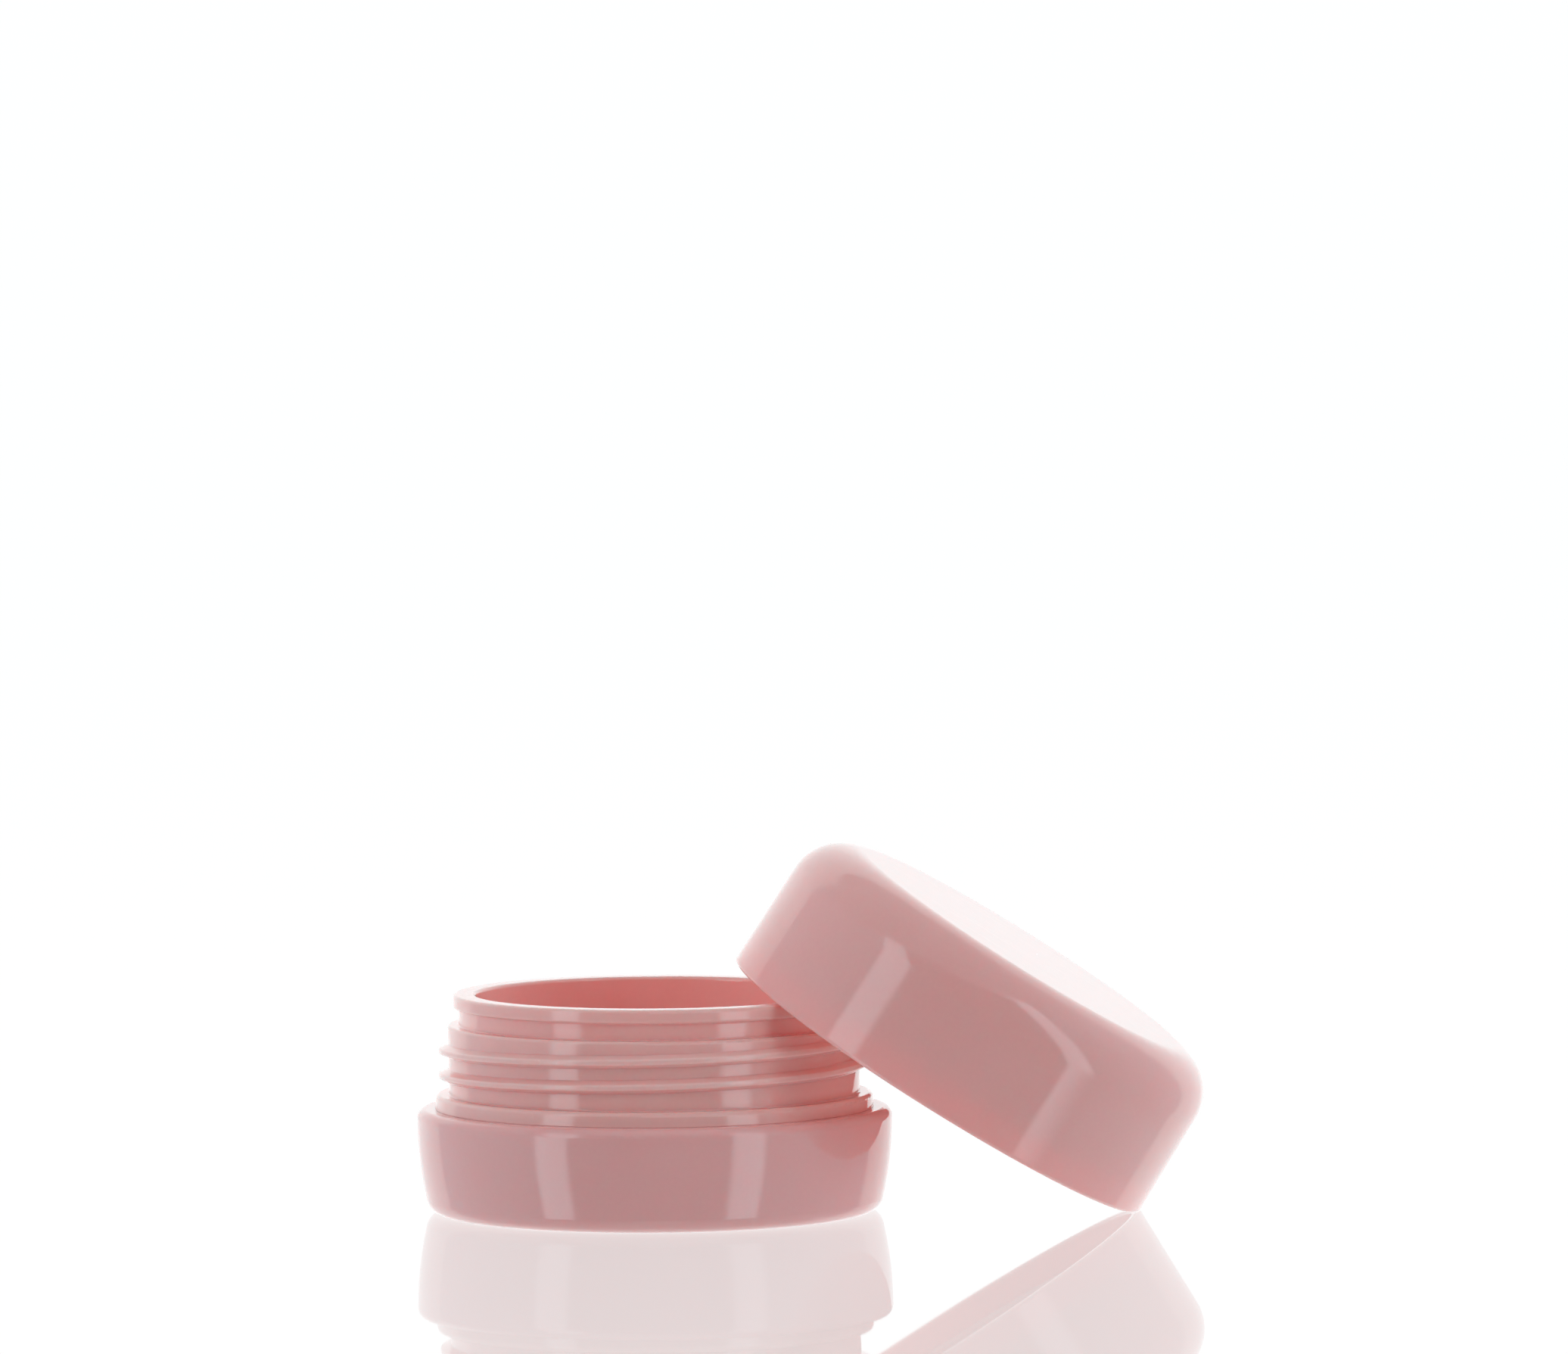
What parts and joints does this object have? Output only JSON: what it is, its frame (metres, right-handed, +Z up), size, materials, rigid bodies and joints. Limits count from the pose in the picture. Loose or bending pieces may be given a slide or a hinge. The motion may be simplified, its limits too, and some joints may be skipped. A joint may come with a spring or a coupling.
{
  "type": "dappen dish",
  "caption": "Low round double-walled dish with a threaded neck for nail and beauty liquids; its screw lid is off and leans on the lip.",
  "frame": {"origin": "centre of the dish's flat base, on the surface it stands on", "axes": "+Z up, along the dish's own axis; +X towards the side where the lid leans and touches the surface; -Y is the front"},
  "size_m": [0.0662, 0.04, 0.031],
  "materials": {
    "shell_pink": "glossy moulded polypropylene, pale pink, slightly translucent",
    "cup_pink": "glossy moulded polypropylene, pale pink, slightly translucent",
    "lid_pink": "glossy moulded polypropylene, pale pink, slightly translucent",
    "insert_pink": "glossy moulded polypropylene, pale pink, slightly translucent",
    "liner_foam": "closed-cell foam, soft and matt"
  },
  "bodies": {
    "dish": {"outer_shell": "shell_pink", "inner_cup": "cup_pink"},
    "liner": {"lid_liner": "liner_foam"},
    "lid": {"lid_cap": "lid_pink", "lid_insert": "insert_pink"}
  },
  "joints": [
    {"name": "lid_lift", "type": "slide", "parent": "dish", "child": "liner", "axis": [0.5336, 0, 0.8457], "range_m": [0, 0.025]},
    {"name": "lid_turn", "type": "hinge", "parent": "liner", "child": "lid", "pos_m": [0.02914, 0, 0.01902], "axis": [0.5336, 0, 0.8457], "continuous": true}
  ]
}
